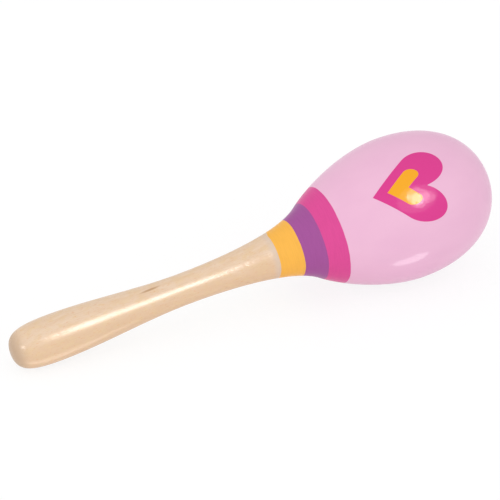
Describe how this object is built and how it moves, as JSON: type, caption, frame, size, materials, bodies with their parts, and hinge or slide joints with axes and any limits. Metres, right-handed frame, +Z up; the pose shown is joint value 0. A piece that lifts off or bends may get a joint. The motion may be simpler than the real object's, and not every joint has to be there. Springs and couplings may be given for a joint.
{
  "type": "maraca",
  "caption": "Wooden hand rattle: a turned, waisted handle glued into a hollow painted egg-shaped head that holds loose pellets.",
  "frame": {"origin": "on the surface that the maraca lies on, under the middle of its length and width", "axes": "+X from the butt of the handle towards the head, +Z up; the turning axis leans up by 7.4 degrees towards the head"},
  "size_m": [0.2086, 0.0594, 0.0598],
  "materials": {
    "lacquered_wood": "pale close-grained hardwood, turned smooth, under clear gloss lacquer",
    "painted_wood": "gloss enamel on turned wood: pale pink with yellow, purple and magenta rings at the neck and a heart on one side",
    "pellet_steel": "plain bright steel"
  },
  "bodies": {
    "root": {"handle": "lacquered_wood", "lower_head_shell": "painted_wood", "upper_head_shell": "painted_wood"},
    "pellet_01": {"pellet_01": "pellet_steel"},
    "pellet_02": {"pellet_02": "pellet_steel"},
    "pellet_03": {"pellet_03": "pellet_steel"},
    "pellet_04": {"pellet_04": "pellet_steel"},
    "pellet_05": {"pellet_05": "pellet_steel"},
    "pellet_06": {"pellet_06": "pellet_steel"},
    "pellet_07": {"pellet_07": "pellet_steel"},
    "pellet_08": {"pellet_08": "pellet_steel"},
    "pellet_09": {"pellet_09": "pellet_steel"},
    "pellet_10": {"pellet_10": "pellet_steel"},
    "pellet_11": {"pellet_11": "pellet_steel"},
    "pellet_12": {"pellet_12": "pellet_steel"},
    "pellet_13": {"pellet_13": "pellet_steel"},
    "pellet_14": {"pellet_14": "pellet_steel"},
    "pellet_15": {"pellet_15": "pellet_steel"},
    "pellet_16": {"pellet_16": "pellet_steel"},
    "pellet_17": {"pellet_17": "pellet_steel"},
    "pellet_18": {"pellet_18": "pellet_steel"},
    "pellet_19": {"pellet_19": "pellet_steel"}
  },
  "joints": [
    {"name": "pellet_01_rattle", "type": "slide", "parent": "root", "child": "pellet_01", "axis": [0, 0, 1], "range_m": [0, 0.0403]},
    {"name": "pellet_02_rattle", "type": "slide", "parent": "root", "child": "pellet_02", "axis": [0, 0, 1], "range_m": [0, 0.0417]},
    {"name": "pellet_03_rattle", "type": "slide", "parent": "root", "child": "pellet_03", "axis": [0, 0, 1], "range_m": [0, 0.0418]},
    {"name": "pellet_04_rattle", "type": "slide", "parent": "root", "child": "pellet_04", "axis": [0, 0, 1], "range_m": [0, 0.0423]},
    {"name": "pellet_05_rattle", "type": "slide", "parent": "root", "child": "pellet_05", "axis": [0, 0, 1], "range_m": [0, 0.0442]},
    {"name": "pellet_06_rattle", "type": "slide", "parent": "root", "child": "pellet_06", "axis": [0, 0, 1], "range_m": [0, 0.0449]},
    {"name": "pellet_07_rattle", "type": "slide", "parent": "root", "child": "pellet_07", "axis": [0, 0, 1], "range_m": [0, 0.0444]},
    {"name": "pellet_08_rattle", "type": "slide", "parent": "root", "child": "pellet_08", "axis": [0, 0, 1], "range_m": [0, 0.042]},
    {"name": "pellet_09_rattle", "type": "slide", "parent": "root", "child": "pellet_09", "axis": [0, 0, 1], "range_m": [0, 0.0443]},
    {"name": "pellet_10_rattle", "type": "slide", "parent": "root", "child": "pellet_10", "axis": [0, 0, 1], "range_m": [0, 0.0456]},
    {"name": "pellet_11_rattle", "type": "slide", "parent": "root", "child": "pellet_11", "axis": [0, 0, 1], "range_m": [0, 0.0457]},
    {"name": "pellet_12_rattle", "type": "slide", "parent": "root", "child": "pellet_12", "axis": [0, 0, 1], "range_m": [0, 0.0448]},
    {"name": "pellet_13_rattle", "type": "slide", "parent": "root", "child": "pellet_13", "axis": [0, 0, 1], "range_m": [0, 0.0423]},
    {"name": "pellet_14_rattle", "type": "slide", "parent": "root", "child": "pellet_14", "axis": [0, 0, 1], "range_m": [0, 0.0442]},
    {"name": "pellet_15_rattle", "type": "slide", "parent": "root", "child": "pellet_15", "axis": [0, 0, 1], "range_m": [0, 0.0449]},
    {"name": "pellet_16_rattle", "type": "slide", "parent": "root", "child": "pellet_16", "axis": [0, 0, 1], "range_m": [0, 0.0444]},
    {"name": "pellet_17_rattle", "type": "slide", "parent": "root", "child": "pellet_17", "axis": [0, 0, 1], "range_m": [0, 0.0403]},
    {"name": "pellet_18_rattle", "type": "slide", "parent": "root", "child": "pellet_18", "axis": [0, 0, 1], "range_m": [0, 0.0417]},
    {"name": "pellet_19_rattle", "type": "slide", "parent": "root", "child": "pellet_19", "axis": [0, 0, 1], "range_m": [0, 0.0418]}
  ]
}
